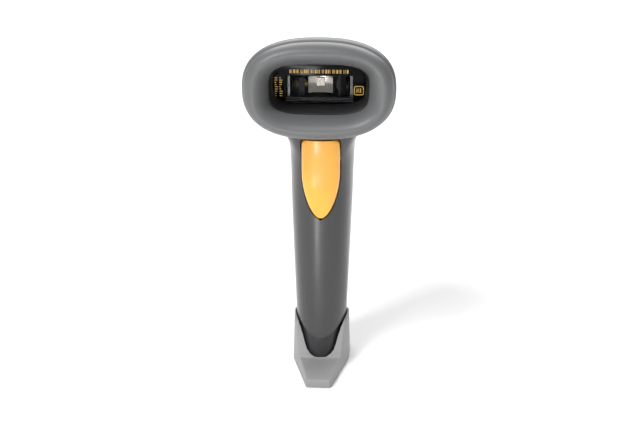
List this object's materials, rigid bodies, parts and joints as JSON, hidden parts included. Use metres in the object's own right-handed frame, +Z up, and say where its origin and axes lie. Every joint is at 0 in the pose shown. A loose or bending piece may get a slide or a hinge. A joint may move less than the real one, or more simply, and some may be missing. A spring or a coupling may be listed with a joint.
{
  "type": "handheld barcode scanner",
  "caption": "Cordless pistol-grip barcode scanner with a rubber nose bumper, a trigger, and a rubber boot that it stands upright on.",
  "frame": {"origin": "on the boot's flat base, under the grip, 30 mm behind the toe's front edge", "axes": "+Z up along the standing scanner, -Y the way the scan window faces, +X to the scanner's right as seen from the front"},
  "size_m": [0.0674, 0.0775, 0.1662],
  "materials": {
    "housing": "fine satin",
    "bumper": "soft matt",
    "boot": "soft matt",
    "bezel": "matt",
    "window": "polished, black print round a clear field",
    "gasket": "foam",
    "trigger": "satin",
    "lens": "translucent",
    "led": "clear dome",
    "steel": "zinc plated",
    "spring_steel": "drawn wire",
    "black_plastic": "moulded",
    "white_plastic": "moulded",
    "frame_plastic": "moulded",
    "board": "solder mask",
    "shield": "tin plated",
    "flex": "film",
    "battery": "shrink sleeve",
    "lead": "sleeving",
    "engine_metal": "die cast",
    "brass": "turned",
    "mirror": "metallised",
    "magnet": "nickel plated",
    "copper": "enamelled winding",
    "sensor": "dark filter"
  },
  "bodies": {
    "root": {"front_housing": "housing", "rear_housing": "housing", "nose_bumper": "bumper", "window_bezel": "bezel", "scan_window": "window", "window_gasket": "gasket", "base_boot": "boot", "base_plug": "bezel", "boot_screws": "steel", "housing_screws": "steel", "status_lens": "lens", "status_led": "led", "sounder": "black_plastic", "trigger_pin": "steel", "trigger_spring": "spring_steel", "switch_case": "black_plastic", "inner_frame": "frame_plastic", "main_board": "board", "board_screws": "steel", "decoder_chip": "black_plastic", "memory_chip": "black_plastic", "radio_module": "shield", "flex_socket": "white_plastic", "flex_cable": "flex", "battery": "battery", "battery_lead": "lead", "charge_board": "board", "charge_socket": "shield", "engine_tray": "black_plastic", "engine_board": "board", "engine_frame": "engine_metal", "engine_screws": "brass", "mirror_pin": "steel", "drive_coil": "copper", "laser_module": "brass", "laser_collar": "black_plastic", "light_sensor": "sensor"},
    "trigger": {"trigger": "trigger"},
    "plunger": {"switch_plunger": "white_plastic"},
    "mirror": {"scan_mirror": "mirror", "mirror_magnet": "magnet"}
  },
  "joints": [
    {"name": "trigger_pull", "type": "hinge", "parent": "root", "child": "trigger", "pos_m": [0, -0.003, 0.121], "axis": [1, 0, 0], "range_deg": [0, 4], "stiffness_Nm_per_rad": 0.2, "springref_deg": -4.58, "deforming": ["trigger_spring"]},
    {"name": "switch_press", "type": "slide", "parent": "root", "child": "plunger", "axis": [0, 1, 0], "range_m": [0, 0.0009]},
    {"name": "scan_mirror_swing", "type": "hinge", "parent": "root", "child": "mirror", "pos_m": [0, -0.00285, 0.14234], "axis": [0, 0.0349, 0.9994], "range_deg": [-12, 12], "stiffness_Nm_per_rad": 0.0002}
  ],
  "couplings": [
    {"joint": "switch_press", "follows": "trigger_pull", "m_per_rad": 0.0124}
  ]
}
